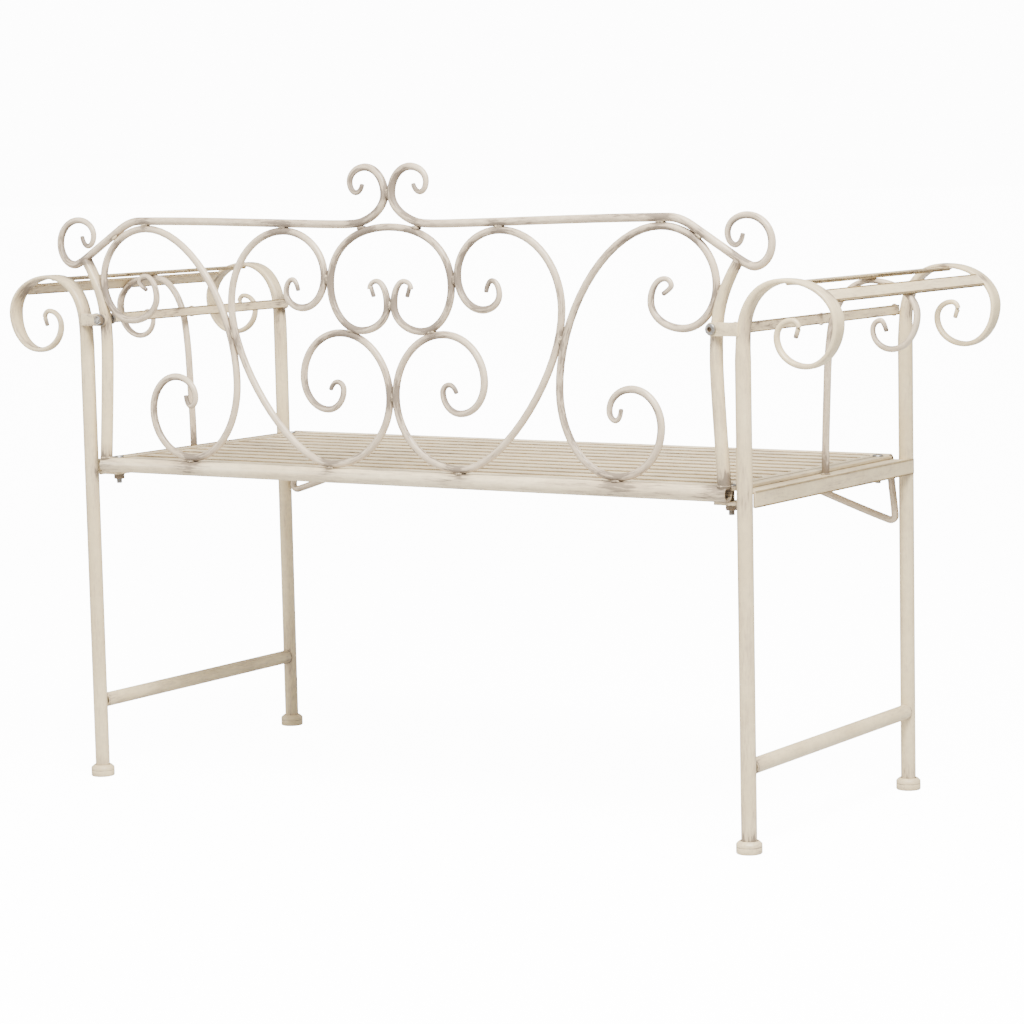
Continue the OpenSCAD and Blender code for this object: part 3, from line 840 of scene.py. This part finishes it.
def make_flat_pieces():
    for n in range(1, SLATS + 1):
        # The slats' darkened arrises draw the brown lines between slats: painted shade for the shaded
        # gaps, besides rubbed paint.
        ease_edges(f"seat_slat_{n}", f"slat_{n}")
    for _, side in SIDES:
        ease_edges("seat_end_bar_" + side, "seat_side_bar_" + side, paint="depth")
        ease_edges("under_slat_bar_" + side, "cross_bar_" + side, paint="depth")
        ease_edges("angle_rail_" + side, "side_rail_" + side, 0.6, 1.2, "depth")
        ease_edges("inner_flat_" + side, "inner_strip_" + side, 0.8, 1.0, "depth", darkened=0.16)
        ease_edges("top_flat_" + side, "top_strip_" + side, 0.9, 1.4, "depth", darkened=0.08)
        ease_edges("outer_flat_" + side, "outer_strip_" + side, 0.9, 1.4, "depth", darkened=0.08)
        ease_edges("bracket_plate_" + side, "back_bracket_" + side, 0.5, 1.0, "depth")
        for row, _ in ROWS:
            ease_edges(f"lug_plate_{row}_{side}", f"seat_lug_{row}_{side}", 0.5, 1.0, "depth")


# ---- bolts, nuts and washers ----------------------------------------------------------------

def thread(r, start, end, pitch=1.25, depth=0.45):
    """Radii and heights of a run of thread."""
    out = []
    h = start
    while h < end - pitch:
        out += [(r - depth, h), (r, h + pitch / 2)]
        h += pitch
    return out


def make_bolt(bm, place, grip, length, head, recess, head_h=5.0):
    """Dished round head, plain shank, threaded end with a chamfer. The head is under Z = 0."""
    top = -head_h
    profile = [(recess, top + 3.0), (recess, top + 0.3), (recess + 0.5, top)]
    profile += [(head - 2.0, top), (head - 0.7, top + 0.5), (head, top + 1.6)]
    profile += [(head, -0.3), (head - 0.3, 0)]
    profile += [(BOLT_R, 0.001), (BOLT_R, grip)]
    profile += thread(BOLT_R, grip + 0.4, length - 0.8)
    profile += [(BOLT_R - 0.1, length - 0.7), (BOLT_R - 0.8, length)]
    # Points 0 and 1 line the recess; darkening them paints shade into the socket, in the rust brown of
    # the zinc.
    turn_piece(bm, profile, 24, place, closed=False, darkened=(0, 1))


def make_nut(bm, place, seat=0.0, height=6.5, across=15.0):
    """Hexagon with chamfered corners, from the height of its seat up."""
    r = across / 2
    top = seat + height
    profile = [(4.1, seat), (r - 0.9, seat), (r, seat + 0.7), (r, top - 0.9),
               (r - 1.0, top), (5.0, top), (4.1, top - 0.7)]
    turn_piece(bm, profile, 6, place, darkened=(2, 3))


def make_washer(bm, place):
    profile = [(4.3, 0), (8.2, 0), (8.5, 0.3), (8.5, WASHER_T - 0.3), (8.2, WASHER_T), (4.3, WASHER_T)]
    turn_piece(bm, profile, 32, place, darkened=(2, 3))


def make_back_fastenings(upright=17.0, bracket=3.5):
    """One bolt through each upright and its bracket, the two of them turned opposite ways."""
    grip = upright + bracket
    bolts, nuts = new_worn_mesh(), new_worn_mesh()
    for side in (-1, 1):
        middle = Matrix.Translation((side * BACK_BOLT_X, LEG_Y - upright / 2 + grip / 2, BACK_BOLT_Z))
        middle = middle @ Matrix.Rotation(-side * math.pi / 2, 4, "X")
        nut_face = middle @ Matrix.Translation((0, 0, grip / 2))
        head_face = middle @ Matrix.Translation((0, 0, -grip / 2))
        make_bolt(bolts, head_face, grip, length=grip + 9, head=7.0, recess=3.0)
        make_nut(nuts, nut_face, WASHER_T)
        make_washer(nuts, nut_face)
    finish(bolts, "backrest_bolts", ["back_bolts"], ZINC, smooth=30)
    finish(nuts, "backrest_nuts", ["back_nuts"], ZINC, smooth=25)


def make_seat_fastenings(grip=22.0, length=36.0):
    """A bolt down through each corner of the seat, with its washer and nut underneath."""
    under = SEAT_TOP - grip
    turn_over = Matrix.Rotation(math.pi, 4, "X")
    bolts, nuts, washers = new_worn_mesh(), new_worn_mesh(), new_worn_mesh()
    for x in (-SEAT_BOLT_X, SEAT_BOLT_X):
        for y in (-SEAT_BOLT_Y, SEAT_BOLT_Y):
            head_face = Matrix.Translation((x, y, SEAT_TOP)) @ turn_over
            make_bolt(bolts, head_face, grip, length, head=7.4, recess=2.5, head_h=2.5)
            make_nut(nuts, Matrix.Translation((x, y, under - WASHER_T)) @ turn_over)
            make_washer(washers, Matrix.Translation((x, y, under)) @ turn_over)
    finish(bolts, "seat_bolts_turned", ["seat_bolts"], ZINC, smooth=30)
    finish(nuts, "seat_nuts_turned", ["seat_nuts"], ZINC, smooth=25)
    finish(washers, "seat_washers_turned", ["seat_washers"], ZINC, smooth=30)


set_up_camera()
set_up_floor()
set_up_light()
make_forged_bars()
make_tubes()
make_feet()
make_flat_pieces()
make_back_fastenings()
make_seat_fastenings()
make_backrest_welds()
make_frame_welds()
